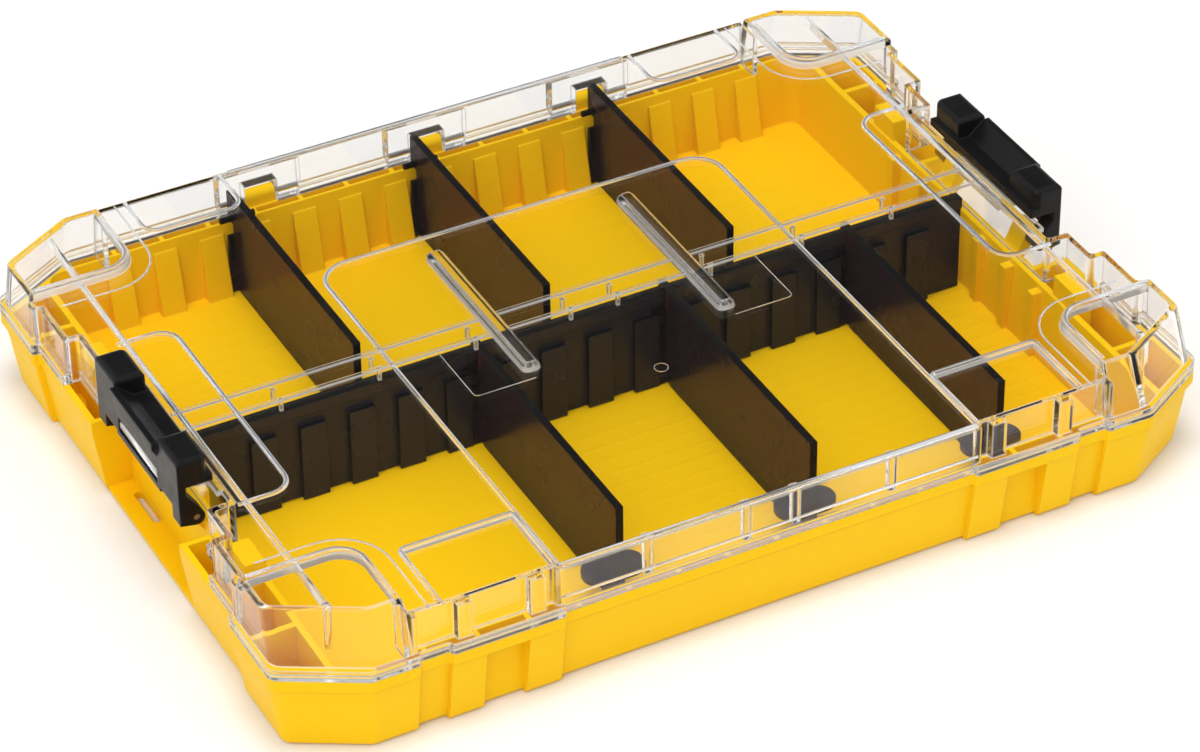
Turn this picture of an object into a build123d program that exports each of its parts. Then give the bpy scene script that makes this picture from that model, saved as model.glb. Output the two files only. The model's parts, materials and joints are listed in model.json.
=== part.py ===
from build123d import *
import math
import os

# Low, wide organiser case for saw blades: a moulded tray, a clear hinged lid, two side latches and dividers.

# ---------------------------------------------------------------- driving sizes, mm
CASE_LENGTH = 376.8  # over the rim, along X
CASE_DEPTH = 282.8  # over the rim, along Y
HINGE_STANDOFF = 4.0  # how far the hinge knuckles stand out behind the rim
CORNER_CUT_X = 30.4  # corner chamfer, measured along the front
CORNER_CUT_Y = 17.5  # corner chamfer, measured along the side
OUTLINE_ROUND = 5.0
STEP_ROUND = 1.0
LID_STEP_ROUND = 1.4
EMBED = 0.5  # how far an added rib is sunk into the wall that carries it
SEAT = 0.3  # clearance between a loose piece and what carries it
FIT = 0.05  # radial clearance of a pin in the leaf that turns on it
SIDE_PLAY = 0.4  # clearance beside each hinge lug

# tray walls
TRAY_HEIGHT = 33.3  # underside to the parting face
FLANGE_HEIGHT = 4.7
WALL_DRAFT = 8.6  # degrees
WALL = 2.4
FLOOR = 3.0
FOOT_ROUND = 3.0
TRAY_ROUND = 9.0  # corners of the drafted walls, where they meet the flange
WALL_SET_BACK = 0.8  # wall face behind the flange face
FRONT_STEP = 2.2  # depth of the shallow recesses in the front wall
CORNER_BLOCK = 49.4  # length of each corner block along the front
OUTER_PILASTER = 13.5
OUTER_RECESS = 12.0  # between a corner block and the outer pilaster
INNER_PILASTER = 14.0
DEEP_RECESS = 16.5  # between the two pilasters of a pair
SIDE_STEP = 3.0  # how much shallower the rim is between the corner blocks of a side
SIDE_BLOCK = 51.9  # length of each corner block along the side

# latch bays
BAY_HALF = 40.0  # half width of the tray's latch bay
BAY_INSET = 17.4  # rim to the bay's back wall
BAY_LEDGE = 3.0
LEDGE_INSET = 7.4  # rim to the edge of the bay's ledge
LEDGE_SLOT = (20.0, 3.4)
LEDGE_SLOT_AT = (2.0, 21.5)  # slot centre from the bay's back wall and from the bay's middle

# bins
CAVITY_INSET_X = 25.4  # rim to the bins' end wall, at the floor
CAVITY_INSET_Y = 9.9
CAVITY_DRAFT = 4.5  # degrees
SLOT_PITCH = 19.72  # divider slots
SLOT_OFFSET = -7.35
PILASTER_WIDTH = 10.0
PILASTER_FOOT = 4.6
PILASTER_TOP = 29.0
LEDGE_POCKET_DEPTH = 6.0
LEDGE_WEB = 2.0
LEDGE_LIP = 1.2
SIDE_WALL = 2.6
SIDE_WEB_INSET = 41.4
SIDE_RIB = 2.0
SIDE_RIB_YS = (-52.0, -32.0, -12.0, 12.0, 32.0, 52.0)
TOWER = (8.0, 14.5)  # locating towers at the ends of the latch bays, along X and Y
TOWER_GAP = (3.5, 19.5)  # tower from the bins' end wall and from the latch bay
TOWER_RISE = 8.7

# lid
PARTING_GAP = 0.2
RIM_LAYERS = ((0.0, 1.7), (0.8, 1.0), (0.0, 1.8))  # setback and height of the rim's two beads and the groove
RIM_BEAD = 1.8  # how far the rim stands proud of the lid wall
LID_TOP = 54.0
LID_WALL = 2.0
TOP_ROUND = 1.2
PAD_RISE = 3.5
PAD_LENGTH = 47.4  # rim to the inner edge of a corner pad
PAD_DEPTH = 46.9
PAD_CORNER_ROUND = 12.0  # inner corner of a pad
PAD_FRONT_SLOPE = 8.0
PAD_REAR_SLOPE = 4.0
PAD_SIDE_SLOPE = 1.0
LID_BAY_GAP = 1.8  # lid's bay wall inside the tray's
LID_BAY_MARGIN = 10.0  # lid's bay beyond the tray's, at each end
LID_STEP_INSET = 10.4  # rim to the step beside the lid's bay
LID_STEP_MARGIN = 26.5  # end of that step beyond the tray's bay
LID_EDGE = 2.0  # thickness and reach of the edge that the latch hooks sit over
CHANNEL_HALF = 5.2  # middle line to each rib of the channel over the long divider
CHANNEL_RIB = (1.6, 0.7)  # width and rise
CLIP_PITCH = 39.4
CLIP_FIRST = 9.85
CLIP_LEG = 1.4
CLIP_GAP = 2.8  # from the middle of the long divider to the inside of a clip leg
CLIP_CLEARANCE = 2.0  # clip foot above the long divider
GRIP_BAR = (7.0, 83.0, 3.4)  # width, length and rise of the two bars on the lid
GRIP_BAR_CHAMFER = 1.6
GRIP_BAR_X = 40.5
GRIP_BAR_Y = 8.5  # middle of the bars, behind the middle of the case
FIN_WIDTH = 6.0
FIN_DEPTH = 3.4
FIN_INSET = 7.0
POCKET_MARGIN = 3.0  # inner pilaster's inner edge to the lid's set-back front wall
POCKET_LENGTH = 42.0
POCKET_REACH = 36.0  # rim to the rear edge of the shallow sunk panel
POCKET_DEPTH = 1.0

# hinges
HINGE_PITCH = 72.5
KNUCKLE_WIDTH = 34.0
KNUCKLE_DROP = 4.0  # knuckle top below the lid's top
KNUCKLE_RADIUS = 3.5
LUG_WIDTH = 13.0
LUG_RADIUS = 2.8
HINGE_PIN_RADIUS = 1.3

# latches
LATCH_PLAY = 3.0  # between a latch's end and the end of its bay
LATCH_OUT = 12.0  # bay's back wall to the latch's outer face
LATCH_PLATE = 3.0
LATCH_RISE = 12.0  # latch top above the lid's top
LATCH_LIP = 1.8
LIP_DROP = 2.6  # lip's top below the tops of the grip blocks
LATCH_ROUND = 3.0
LATCH_TOP_ROUND = 2.2
PIVOT_OUT = 5.5  # bay's back wall to the pin
PIVOT_RISE = 6.7  # pin above the parting face
EAR_RADIUS = 3.2
EAR_WIDTH = 6.8
EAR_DROP = 2.0  # ear's foot below the pin
HOOK_REACH = 0.4  # hook's edge beyond the lid's bay wall
HOOK_SEAT_GAP = 0.3
HOOK_THICKNESS = 3.0
HOOK_FLAT = 6.4  # flat part of the hook before the middle slopes up to the lip
PLATE_RISE = 2.0  # plate's foot above the pin
LUG_NOTCH = 1.8  # how far the plate's foot is cut up over the lugs
CATCH = (16.5, 4.4, 11.8)  # half width, height and reach of the lid's catch
CATCH_DROP = 4.2  # catch's top below the lid's top
WINDOW_GAP = 0.9  # between the catch and the latch's window
LATCH_PIN_RADIUS = 1.25
LUG_BAR_WIDTH = 9.6
LUG_ROOT = 6.3

# dividers
LONG_TOP = 45.0
LONG_CORE = 1.5
LONG_EDGE = 2.3
LONG_PAD = 3.8
LONG_PAD_WIDTH = 10.4
LONG_PAD_RISE = 2.7  # pads above the parting face
DIVIDER_PROUD = 1.5  # short dividers above the long one
DIVIDER_THICK = 3.0
DIVIDER_END_GAP = 21.5  # plain end of a short divider short of the middle or of the front wall
DIVIDER_NOSE = 5.0
DIVIDER_FLANGE = (4.3, 1.6, 29.5)  # half width, thickness and top
DIVIDER_TAB = (7.4, 2.0)  # half width and height
DIVIDER_ROUND = 6.0
FOOT_PLATE = (24.0, 13.0, 15.0, 17.5)  # length along X, along Y, bottom and top
REAR_SLOTS = (-4, 0, 4)
FRONT_SLOTS = (-2, 2, 6)

# ---------------------------------------------------------------- sizes that follow
SIDES = (-1, 1)
HALF_X = CASE_LENGTH / 2
HALF_Y = CASE_DEPTH / 2
MID_Y = -HINGE_STANDOFF / 2
FLANGE_Z = TRAY_HEIGHT - FLANGE_HEIGHT
CORNER_BLOCK_X = HALF_X - CORNER_BLOCK
OUTER_PILASTER_X = (CORNER_BLOCK_X - OUTER_RECESS - OUTER_PILASTER, CORNER_BLOCK_X - OUTER_RECESS)
INNER_PILASTER_X = (OUTER_PILASTER_X[0] - DEEP_RECESS - INNER_PILASTER, OUTER_PILASTER_X[0] - DEEP_RECESS)
SIDE_BLOCK_Y = HALF_Y - SIDE_BLOCK
DEEP_RECESS_Y = -(HALF_Y - WALL_SET_BACK - FRONT_STEP - math.tan(math.radians(WALL_DRAFT)) * FLANGE_Z)
BAY_WALL_X = HALF_X - BAY_INSET

CAVITY_X = HALF_X - CAVITY_INSET_X
CAVITY_Y = HALF_Y - CAVITY_INSET_Y
CAVITY_RISE = math.tan(math.radians(CAVITY_DRAFT)) * (TRAY_HEIGHT - FLOOR)
CAVITY_TOP_X = CAVITY_X + CAVITY_RISE
CAVITY_TOP_Y = CAVITY_Y + CAVITY_RISE
LEDGE_POCKET = SLOT_PITCH - LEDGE_WEB
SLOT_REACH = CAVITY_X - LEDGE_POCKET / 2
SLOT_FIRST = math.ceil((-SLOT_REACH - SLOT_OFFSET) / SLOT_PITCH)
SLOT_LAST = math.floor((SLOT_REACH - SLOT_OFFSET) / SLOT_PITCH)
SLOT_XS = [SLOT_OFFSET + SLOT_PITCH * k for k in range(SLOT_FIRST, SLOT_LAST + 1)]
PILASTER_XS = [x + SLOT_PITCH / 2 for x in SLOT_XS[:-1]]
TOWER_X = (CAVITY_X + TOWER_GAP[0], CAVITY_X + TOWER_GAP[0] + TOWER[0])
TOWER_Y = (BAY_HALF + TOWER_GAP[1], BAY_HALF + TOWER_GAP[1] + TOWER[1])

RIM_Z = TRAY_HEIGHT + PARTING_GAP
RIM_TOP = RIM_Z + sum(height for setback, height in RIM_LAYERS)
LID_BODY_X = HALF_X - RIM_BEAD
LID_BODY_Y = HALF_Y - RIM_BEAD
PAD_TOP = LID_TOP + PAD_RISE
PAD_X = HALF_X - PAD_LENGTH
PAD_Y = HALF_Y - PAD_DEPTH
LID_BAY_WALL_X = BAY_WALL_X - LID_BAY_GAP
LID_BAY_HALF = BAY_HALF + LID_BAY_MARGIN
LID_STEP_END = BAY_HALF + LID_STEP_MARGIN
POCKET_X = (INNER_PILASTER_X[0] + POCKET_MARGIN, INNER_PILASTER_X[0] + POCKET_MARGIN + POCKET_LENGTH)
FIN_XS = (POCKET_X[0] + FIN_INSET, POCKET_X[1] - FIN_INSET)
CLIP_XS = [side * (CLIP_FIRST + CLIP_PITCH * k) for side in SIDES for k in range(4)]
FRONT_RIB_XS = [x for x in CLIP_XS if abs(x) < POCKET_X[0] - LID_WALL]
HINGE_Y = HALF_Y + HINGE_STANDOFF - KNUCKLE_RADIUS
HINGE_Z = RIM_Z + KNUCKLE_RADIUS
KNUCKLE_TOP = LID_TOP - KNUCKLE_DROP

LATCH_HALF = BAY_HALF - LATCH_PLAY
LATCH_OUTER_X = BAY_WALL_X + LATCH_OUT
LATCH_TOP = LID_TOP + LATCH_RISE
PIVOT_X = BAY_WALL_X + PIVOT_OUT
PIVOT_Z = TRAY_HEIGHT + PIVOT_RISE
HOOK_X = LID_BAY_WALL_X + HOOK_REACH
HOOK_Z = LID_TOP + HOOK_SEAT_GAP
CATCH_Z = (LID_TOP - CATCH_DROP - CATCH[1], LID_TOP - CATCH_DROP)
WINDOW_Z = (CATCH_Z[0] - WINDOW_GAP, CATCH_Z[1] + WINDOW_GAP)
WINDOW_HALF = CATCH[0] + WINDOW_GAP
PLATE_FOOT_Z = PIVOT_Z + PLATE_RISE
LUG_BAR_HALF = LATCH_HALF - EAR_WIDTH - 2 * SEAT

LONG_PAD_TOP = TRAY_HEIGHT + LONG_PAD_RISE
DIVIDER_TOP = LONG_TOP + DIVIDER_PROUD
DIVIDER_BODY = CAVITY_Y - DIVIDER_END_GAP
TAB_Z = LONG_PAD_TOP + SEAT


def level(z):
    """Horizontal plane at height z, centred on the middle of the rim."""
    return Plane((0, MID_Y, z))


def across(x):
    """Upright plane facing +X at x: its first axis runs along Y and its second along Z."""
    return Plane((x, MID_Y, 0), x_dir=(0, 1, 0), z_dir=(1, 0, 0))


def facing_rear(y):
    """Upright plane facing -Y at y: its first axis runs along X and its second along Z."""
    return Plane((0, MID_Y + y, 0), x_dir=(1, 0, 0), z_dir=(0, -1, 0))


def case_outline(inset_x, inset_y):
    """Chamfered rectangle of the case, drawn inwards of the rim."""
    x = HALF_X - inset_x
    y = HALF_Y - inset_y
    cut_x = x - CORNER_CUT_X
    cut_y = y - CORNER_CUT_Y
    Polygon((x, -cut_y), (x, cut_y), (cut_x, y), (-cut_x, y),
            (-x, cut_y), (-x, -cut_y), (-cut_x, -y), (cut_x, -y),
            align=None)


def box_between(x, y, z, mode=Mode.ADD):
    """Box between two corners given as (low, high) pairs about the middle of the rim."""
    with Locations(((x[0] + x[1]) / 2, MID_Y + (y[0] + y[1]) / 2, (z[0] + z[1]) / 2)):
        Box(x[1] - x[0], y[1] - y[0], z[1] - z[0], mode=mode)


def span(side, near, far):
    """The (low, high) pair of a stretch from near to far on one side of the middle."""
    return (min(side * near, side * far), max(side * near, side * far))


def stepped_outline(inset):
    """Outline of the flange and of the lid's rim, stepped in over the recesses of the front and sides."""
    with BuildSketch() as outline:
        case_outline(inset, inset)
        fillet(outline.vertices(), radius=OUTLINE_ROUND)
        with Locations((0, -HALF_Y + inset)):
            Rectangle(2 * INNER_PILASTER_X[0], 2 * FRONT_STEP, mode=Mode.SUBTRACT)
        for side in SIDES:
            with Locations((side * (CORNER_BLOCK_X - OUTER_RECESS / 2), -HALF_Y + inset)):
                Rectangle(OUTER_RECESS, 2 * FRONT_STEP, mode=Mode.SUBTRACT)
            with Locations((side * (HALF_X - inset), 0)):
                Rectangle(2 * SIDE_STEP, 2 * SIDE_BLOCK_Y, mode=Mode.SUBTRACT)
        fillet(step_corners(outline), radius=STEP_ROUND)
    return outline.sketch


def step_corners(outline):
    """Corners of an outline other than those of its four chamfers."""
    return outline.vertices().filter_by(lambda corner: abs(corner.X) < PAD_X or abs(corner.Y) < PAD_Y)


# ---------------------------------------------------------------- tray
def drafted_body(inset):
    """Tapered block from the flange down to the floor face, its foot rounded."""
    with BuildPart() as body:
        with BuildSketch(level(FLANGE_Z)) as top:
            case_outline(inset, inset)
            fillet(top.vertices(), radius=TRAY_ROUND)
        extrude(amount=-FLANGE_Z, taper=WALL_DRAFT)
        fillet(body.faces().sort_by(Axis.Z)[0].edges(), radius=FOOT_ROUND)
    return body.part


def raised_blocks():
    """Corner blocks and front pilasters, the full-size body kept only where they stand."""
    with BuildPart() as blocks:
        add(drafted_body(WALL_SET_BACK))
        with BuildSketch(level(0)):
            for side in SIDES:
                for end in SIDES:
                    with Locations((side * (CORNER_BLOCK_X + HALF_X) / 2, end * (SIDE_BLOCK_Y + HALF_Y) / 2)):
                        Rectangle(HALF_X - CORNER_BLOCK_X, HALF_Y - SIDE_BLOCK_Y)
                for near, far in (INNER_PILASTER_X, OUTER_PILASTER_X):
                    with Locations((side * (near + far) / 2, -HALF_Y / 2)):
                        Rectangle(far - near, HALF_Y)
        extrude(amount=FLANGE_Z, mode=Mode.INTERSECT)
    return blocks.part


def corner_hollows():
    """Open pockets between the bins and the side walls, two at each end of each side."""
    with BuildPart() as hollows:
        with BuildSketch(level(TRAY_HEIGHT)) as top:
            case_outline(WALL_SET_BACK + FRONT_STEP + WALL, WALL_SET_BACK + FRONT_STEP + WALL)
        extrude(amount=FLOOR - TRAY_HEIGHT, taper=WALL_DRAFT)
        inner = CAVITY_TOP_X + SIDE_WALL
        web_y = HALF_Y - SIDE_WEB_INSET
        with BuildSketch(level(FLOOR)):
            for side in SIDES:
                for end in SIDES:
                    for near, far in ((BAY_HALF + WALL, web_y - WALL / 2), (web_y + WALL / 2, HALF_Y)):
                        with Locations((side * (inner + HALF_X) / 2, end * (near + far) / 2)):
                            Rectangle(HALF_X - inner, far - near)
        extrude(amount=TRAY_HEIGHT - FLOOR, mode=Mode.INTERSECT)
    return hollows.part


def latch_lugs(side):
    """Two lugs on the bay wall that carry a latch pin."""
    with BuildPart() as lugs:
        with BuildSketch(facing_rear(0)):
            with Locations((side * PIVOT_X, PIVOT_Z)):
                Circle(LUG_RADIUS)
            with Locations((side * (BAY_WALL_X - EMBED / 2), TRAY_HEIGHT - LUG_ROOT / 2)):
                Rectangle(EMBED, LUG_ROOT)
            make_hull()
            with Locations((side * PIVOT_X, PIVOT_Z)):
                Circle(LATCH_PIN_RADIUS + FIT, mode=Mode.SUBTRACT)
        extrude(amount=LUG_BAR_HALF, both=True)
        lug_end = LUG_BAR_HALF - LUG_BAR_WIDTH
        box_between(span(side, CAVITY_X, HALF_X), (-lug_end, lug_end), (0, LATCH_TOP), Mode.SUBTRACT)
    return lugs.part


def hinge_lugs():
    """Three lugs behind the flange that stand inside the lid's knuckles."""
    with BuildPart() as lugs:
        with BuildSketch(across(0)):
            with Locations((HINGE_Y, HINGE_Z)):
                Circle(LUG_RADIUS)
            with Locations((HALF_Y - WALL / 2, TRAY_HEIGHT - FLANGE_HEIGHT / 2)):
                Rectangle(WALL, FLANGE_HEIGHT)
            make_hull()
            with Locations((HINGE_Y, HINGE_Z)):
                Circle(HINGE_PIN_RADIUS + FIT, mode=Mode.SUBTRACT)
        extrude(amount=LUG_WIDTH / 2, both=True)
    return lugs.part


def wall_pilasters():
    """Wedge ribs between the divider slots of the rear wall; mirrored for the front wall."""
    lean = math.tan(math.radians(CAVITY_DRAFT)) * (PILASTER_TOP - FLOOR)
    with BuildPart() as rib:
        with BuildSketch(across(0)):
            Polygon((CAVITY_Y - PILASTER_FOOT, FLOOR - EMBED), (CAVITY_Y + EMBED, FLOOR - EMBED),
                    (CAVITY_Y + lean + EMBED, PILASTER_TOP), (CAVITY_Y + lean - EMBED, PILASTER_TOP),
                    align=None)
        extrude(amount=PILASTER_WIDTH / 2, both=True)
    with BuildPart() as ribs:
        with Locations([(x, 0, 0) for x in PILASTER_XS]):
            add(rib.part)
        mirror(about=level(0).rotated((90, 0, 0)))
    return ribs.part


def side_ribs():
    """Upright ribs on the end walls of the bins and the locating towers beside the latch bays."""
    with BuildPart() as ribs:
        for side in SIDES:
            for y in SIDE_RIB_YS:
                box_between(span(side, CAVITY_X - SIDE_RIB, CAVITY_TOP_X + EMBED),
                            (y - SIDE_RIB, y + SIDE_RIB), (FLOOR - EMBED, TRAY_HEIGHT - SIDE_RIB))
            for end in SIDES:
                box_between(span(side, TOWER_X[0], TOWER_X[1]), span(end, TOWER_Y[0], TOWER_Y[1]),
                            (FLOOR - EMBED, TRAY_HEIGHT + TOWER_RISE))
    return ribs.part


def build_tray():
    with BuildPart() as tray:
        add(drafted_body(WALL_SET_BACK + FRONT_STEP))
        add(raised_blocks())
        for side in SIDES:  # upright wall between each pair of pilasters
            box_between(span(side, INNER_PILASTER_X[1], OUTER_PILASTER_X[0]), (-HALF_Y, DEEP_RECESS_Y),
                        (0, FLANGE_Z), Mode.SUBTRACT)
        with BuildSketch(level(FLANGE_Z)):
            add(stepped_outline(0))
        extrude(amount=FLANGE_HEIGHT)
        for side in SIDES:  # latch bays with a low ledge
            box_between(span(side, BAY_WALL_X, HALF_X + 1), (-BAY_HALF, BAY_HALF),
                        (BAY_LEDGE, TRAY_HEIGHT + 1), Mode.SUBTRACT)
            box_between(span(side, HALF_X - LEDGE_INSET, HALF_X + 1), (-BAY_HALF, BAY_HALF),
                        (-1, TRAY_HEIGHT + 1), Mode.SUBTRACT)
        with BuildSketch(level(0)):
            for side in SIDES:
                with Locations((side * (BAY_WALL_X + LEDGE_SLOT_AT[0]), LEDGE_SLOT_AT[1])):
                    SlotOverall(*LEDGE_SLOT, rotation=90)
        extrude(amount=BAY_LEDGE, mode=Mode.SUBTRACT)
        with BuildSketch(level(FLOOR)) as bins:
            Rectangle(2 * CAVITY_X, 2 * CAVITY_Y)
            fillet(bins.vertices(), radius=OUTLINE_ROUND)
        extrude(amount=TRAY_HEIGHT - FLOOR, taper=-CAVITY_DRAFT, mode=Mode.SUBTRACT)
        add(corner_hollows(), mode=Mode.SUBTRACT)
        with BuildSketch(level(TRAY_HEIGHT)):  # shallow pockets along the front and rear ledges
            near = CAVITY_TOP_Y + LEDGE_LIP
            far = HALF_Y - FRONT_STEP - WALL + LEDGE_LIP
            with Locations([(x, end * (near + far) / 2) for x in SLOT_XS for end in SIDES]):
                Rectangle(LEDGE_POCKET, far - near)
        extrude(amount=-LEDGE_POCKET_DEPTH, mode=Mode.SUBTRACT)
        add(wall_pilasters())
        add(side_ribs())
        for side in SIDES:
            add(latch_lugs(side))
        with Locations([(side * HINGE_PITCH, 0, 0) for side in (-1, 0, 1)]):
            add(hinge_lugs())
    return tray


# ---------------------------------------------------------------- lid
def lid_outline(inset):
    """Outline of the lid's upright walls, with the latch bays and the set-back front pockets left out."""
    with BuildSketch() as outline:
        case_outline(RIM_BEAD + inset, RIM_BEAD + inset)
        fillet(outline.vertices(), radius=OUTLINE_ROUND)
        for side in SIDES:
            with Locations((side * HALF_X, 0)):
                Rectangle(2 * (SIDE_STEP + inset + RIM_BEAD), 2 * (SIDE_BLOCK_Y + inset), mode=Mode.SUBTRACT)
                Rectangle(2 * (LID_STEP_INSET + inset), 2 * (LID_STEP_END + inset), mode=Mode.SUBTRACT)
                Rectangle(2 * (HALF_X - LID_BAY_WALL_X + inset), 2 * (LID_BAY_HALF + inset),
                          mode=Mode.SUBTRACT)
            with Locations((side * (POCKET_X[0] + CORNER_BLOCK_X) / 2, -HALF_Y)):
                Rectangle(CORNER_BLOCK_X - POCKET_X[0] + 2 * inset, 2 * (FIN_DEPTH + RIM_BEAD + inset),
                          mode=Mode.SUBTRACT)
        fillet(step_corners(outline), radius=LID_STEP_ROUND)
    return outline.sketch


def without_pads(outline, margin, corner_round):
    """An outline less its four corners, which the raised pads take."""
    length = 2 * (HALF_X - PAD_X)
    depth = 2 * (HALF_Y - PAD_Y - margin)
    with BuildSketch() as rest:
        add(outline)
        for side in SIDES:
            for end in SIDES:
                with Locations((side * HALF_X, end * HALF_Y)):
                    RectangleRounded(length, depth, corner_round, mode=Mode.SUBTRACT)
    return rest.sketch


def pad_section(x_inset, y_inset, grow):
    """Plan section of one corner pad, at the corner of positive X and Y."""
    x = LID_BODY_X - x_inset
    y = LID_BODY_Y - y_inset
    near_x = PAD_X + grow
    near_y = PAD_Y + grow
    with BuildSketch() as section:
        Polygon((near_x, near_y), (x, near_y), (x, y - CORNER_CUT_Y), (x - CORNER_CUT_X, y), (near_x, y),
                align=None)
        outer = section.vertices().filter_by(lambda corner: corner.X > near_x + EMBED)
        cut = outer.filter_by(lambda corner: corner.Y > near_y + EMBED)
        fillet(cut, radius=OUTLINE_ROUND)
        near = section.vertices().sort_by(lambda corner: corner.X + corner.Y)[0]
        fillet(near, radius=PAD_CORNER_ROUND - grow)
    return section.sketch


def corner_pad(slope, inset):
    """Raised corner of the lid, its end wall leaning back by slope; inset draws the hollow inside it."""
    with BuildPart() as pad:
        with BuildSketch(level(RIM_Z if inset else RIM_TOP)):
            add(pad_section(inset, inset, inset))
        with BuildSketch(level(PAD_TOP - inset)):
            add(pad_section(inset + PAD_SIDE_SLOPE, inset + slope, inset))
        loft(ruled=True)
        if not inset:
            fillet(pad.faces().sort_by(Axis.Z)[-1].edges(), radius=TOP_ROUND)
    return pad.part


def four_pads(inset):
    """Corner pads at all four corners, or their hollows."""
    with BuildPart() as pads:
        add(corner_pad(PAD_REAR_SLOPE, inset))
        add(corner_pad(PAD_FRONT_SLOPE, inset).mirror(level(0).rotated((90, 0, 0))))
        mirror(about=Plane.YZ)
    return pads.part


def lid_block():
    """Solid block of the lid's low middle, its outer top edges rounded."""
    with BuildPart() as block:
        with BuildSketch(level(RIM_TOP)):
            add(without_pads(lid_outline(0), 0, PAD_CORNER_ROUND))
        extrude(amount=LID_TOP - RIM_TOP)
        rim = block.faces().sort_by(Axis.Z)[-1].edges()
        outer = rim.filter_by(lambda edge: not (abs(edge.center().X) >= PAD_X - EMBED
                                                and abs(edge.center().Y - MID_Y) >= PAD_Y - EMBED))
        fillet(outer, radius=TOP_ROUND)
    return block.part


def grip_bars():
    """Two chamfered bars and the ribs of the divider channel, on top of the lid."""
    width, length, rise = GRIP_BAR
    rib_width, rib_rise = CHANNEL_RIB
    with BuildPart() as bars:
        with BuildSketch(level(LID_TOP - EMBED)):
            with Locations([(side * GRIP_BAR_X, GRIP_BAR_Y) for side in SIDES]):
                RectangleRounded(width, length, width / 3)
        extrude(amount=EMBED + rise)
        chamfer(bars.faces().filter_by(Axis.Z).group_by(Axis.Z)[-1].edges(), length=GRIP_BAR_CHAMFER)
        reach = LID_BAY_WALL_X - LID_WALL
        for side in SIDES:
            rib_y = side * CHANNEL_HALF
            box_between((-reach, reach), (rib_y - rib_width / 2, rib_y + rib_width / 2),
                        (LID_TOP - EMBED, LID_TOP + rib_rise))
    return bars.part


def divider_clips():
    """Legs under the lid that straddle the long divider's top edge, and ribs inside the front wall."""
    under = LID_TOP - LID_WALL + EMBED
    front = -LID_BODY_Y + LID_WALL
    with BuildPart() as clips:
        for x in CLIP_XS:
            for side in SIDES:
                box_between((x - CLIP_LEG / 2, x + CLIP_LEG / 2), span(side, CLIP_GAP, CLIP_GAP + CLIP_LEG),
                            (LONG_TOP + CLIP_CLEARANCE, under))
        for x in FRONT_RIB_XS:
            box_between((x - CLIP_LEG, x + CLIP_LEG), (front - EMBED, front + 2 * CLIP_LEG), (RIM_TOP, under))
    return clips.part


def front_fins():
    """Upright ribs on the set-back parts of the front wall."""
    with BuildPart() as fins:
        for side in SIDES:
            for x in FIN_XS:
                box_between((side * x - FIN_WIDTH / 2, side * x + FIN_WIDTH / 2),
                            (-LID_BODY_Y, -LID_BODY_Y + FIN_DEPTH + EMBED),
                            (RIM_TOP - EMBED, LID_TOP - TOP_ROUND))
    return fins.part


def knuckles():
    """Three hinge blocks on the lid's rear wall, each slotted for the tray's lug."""
    with BuildPart() as blocks:
        with BuildSketch(across(0)):
            with Locations((HINGE_Y, HINGE_Z)):
                Circle(KNUCKLE_RADIUS)
            low = LID_BODY_Y - LID_WALL / 2
            with Locations(((low + HINGE_Y + KNUCKLE_RADIUS) / 2, (HINGE_Z + KNUCKLE_TOP) / 2)):
                Rectangle(HINGE_Y + KNUCKLE_RADIUS - low, KNUCKLE_TOP - HINGE_Z)
        extrude(amount=KNUCKLE_WIDTH / 2, both=True)
        top = blocks.faces().sort_by(Axis.Z)[-1]
        fillet(top.edges().sort_by(Axis.Y)[-1], radius=TOP_ROUND)
    return blocks.part


def latch_catch(side):
    """Rib on the bay wall that the latch's window closes over, and the edge under its hook."""
    half, height, reach = CATCH
    edge_half = LATCH_HALF + EAR_WIDTH
    with BuildPart() as catch:
        box_between(span(side, LID_BAY_WALL_X - EMBED, LID_BAY_WALL_X + reach), (-half, half), CATCH_Z)
        tip = catch.faces().sort_by(Axis.X)[-1 if side > 0 else 0]
        chamfer(tip.edges(), length=height / 4)
        box_between(span(side, LID_BAY_WALL_X - TOP_ROUND - EMBED, LID_BAY_WALL_X + LID_EDGE),
                    (-edge_half, edge_half), (LID_TOP - LID_EDGE, LID_TOP))
    return catch.part


def rim_outline(setback):
    """Outline of one layer of the lid's rim, open at the latch bays."""
    with BuildSketch() as outline:
        add(stepped_outline(setback))
        for side in SIDES:
            with Locations((side * HALF_X, 0)):
                Rectangle(2 * (LID_STEP_INSET - RIM_BEAD / 2 + setback), 2 * LID_STEP_END, mode=Mode.SUBTRACT)
                Rectangle(2 * (HALF_X - LID_BAY_WALL_X), 2 * LID_BAY_HALF, mode=Mode.SUBTRACT)
    return outline.sketch


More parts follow.
